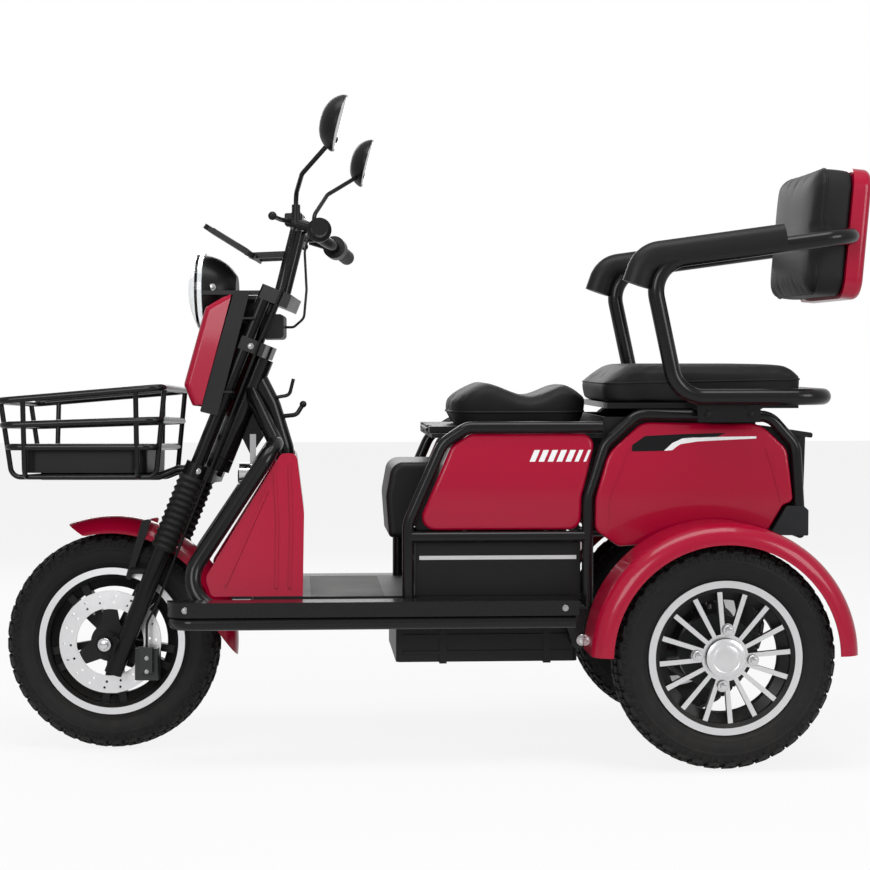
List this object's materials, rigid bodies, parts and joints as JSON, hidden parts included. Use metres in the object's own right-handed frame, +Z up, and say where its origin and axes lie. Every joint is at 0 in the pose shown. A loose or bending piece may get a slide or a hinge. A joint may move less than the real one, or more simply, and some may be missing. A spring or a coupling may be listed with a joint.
{
  "type": "electric three-wheel scooter",
  "caption": "Electric mobility trike with a rider's saddle, a passenger seat with arms and backrest, a front basket, a step-through floor and a rear bin.",
  "frame": {"origin": "on the ground, under the middle of the vehicle", "axes": "+X forward, +Y to the vehicle's left, +Z up"},
  "size_m": [1.6788, 0.8708, 1.2397],
  "materials": {
    "frame_paint": "satin black powder coat",
    "basket_paint": "semi-gloss black coat",
    "axle_paint": "matt black paint",
    "floor_mat": "grooved black rubber",
    "black_moulding": "satin black moulding",
    "red_panel": "gloss crimson",
    "silver_part": "bright plated steel",
    "seat_vinyl": "grained black vinyl",
    "grip_foam": "black rubber",
    "lamp_housing": "dark grey lamp housing",
    "spring_steel": "black coated springs",
    "cast_alloy": "dark painted casting",
    "boot_rubber": "ribbed black rubber",
    "clear_lens": "clear lamp glass",
    "display_glass": "dark instrument face",
    "cable_sheath": "black cable sheath",
    "saddle_tray": "black moulded pan",
    "tyre_rubber": "moulded tyre rubber",
    "wheel_alloy": "black painted, spoke faces machined",
    "disc_steel": "ground steel"
  },
  "bodies": {
    "chassis": {"main_frame": "frame_paint", "floor_board": "floor_mat", "running_boards": "black_moulding", "leg_shield": "red_panel", "horn": "silver_part", "seat_box": "black_moulding", "mid_panels": "red_panel", "rear_panels": "red_panel", "side_skirts": "black_moulding", "passenger_cushion": "seat_vinyl", "arm_frame": "frame_paint", "armrests": "grip_foam", "backrest_cushion": "seat_vinyl", "backrest_shell": "red_panel", "rear_body": "black_moulding", "rear_fenders": "red_panel", "tail_lamps": "lamp_housing", "battery_box": "black_moulding", "rear_axle": "axle_paint", "rear_shocks": "spring_steel"},
    "steering": {"fork": "cast_alloy", "fork_boots": "boot_rubber", "front_fender": "red_panel", "brake_caliper": "cast_alloy", "headlight_housing": "black_moulding", "headlight_lens": "clear_lens", "shield": "red_panel", "shield_inner": "black_moulding", "handlebar": "frame_paint", "grips": "grip_foam", "controls": "black_moulding", "display": "display_glass", "mirrors": "black_moulding", "basket_frame": "basket_paint", "basket_tray": "basket_paint", "brake_cables": "cable_sheath"},
    "saddle": {"saddle_base": "saddle_tray", "saddle_cushion": "seat_vinyl"},
    "front_wheel": {"front_tyre": "tyre_rubber", "front_rim": "wheel_alloy", "brake_disc": "disc_steel"},
    "rear_wheel_left": {"rear_tyre_left": "tyre_rubber", "rear_rim_left": "wheel_alloy"},
    "rear_wheel_right": {"rear_tyre_right": "tyre_rubber", "rear_rim_right": "wheel_alloy"}
  },
  "joints": [
    {"name": "steering", "type": "hinge", "parent": "chassis", "child": "steering", "pos_m": [0.64, 0, 0], "axis": [-0.3746, 0, 0.9272], "range_deg": [-29, 41]},
    {"name": "saddle_lid", "type": "hinge", "parent": "chassis", "child": "saddle", "pos_m": [0.008, 0, 0.628], "axis": [0, 1, 0], "range_deg": [0, 75]},
    {"name": "front_wheel_spin", "type": "hinge", "parent": "steering", "child": "front_wheel", "pos_m": [0.62168, -0.00652, 0.21087], "axis": [0.0969, 0.9945, 0.0392], "continuous": true},
    {"name": "rear_wheel_left_spin", "type": "hinge", "parent": "chassis", "child": "rear_wheel_left", "pos_m": [-0.531, 0.305, 0.211], "axis": [0, 1, 0], "continuous": true},
    {"name": "rear_wheel_right_spin", "type": "hinge", "parent": "chassis", "child": "rear_wheel_right", "pos_m": [-0.531, -0.305, 0.211], "axis": [0, 1, 0], "continuous": true}
  ]
}
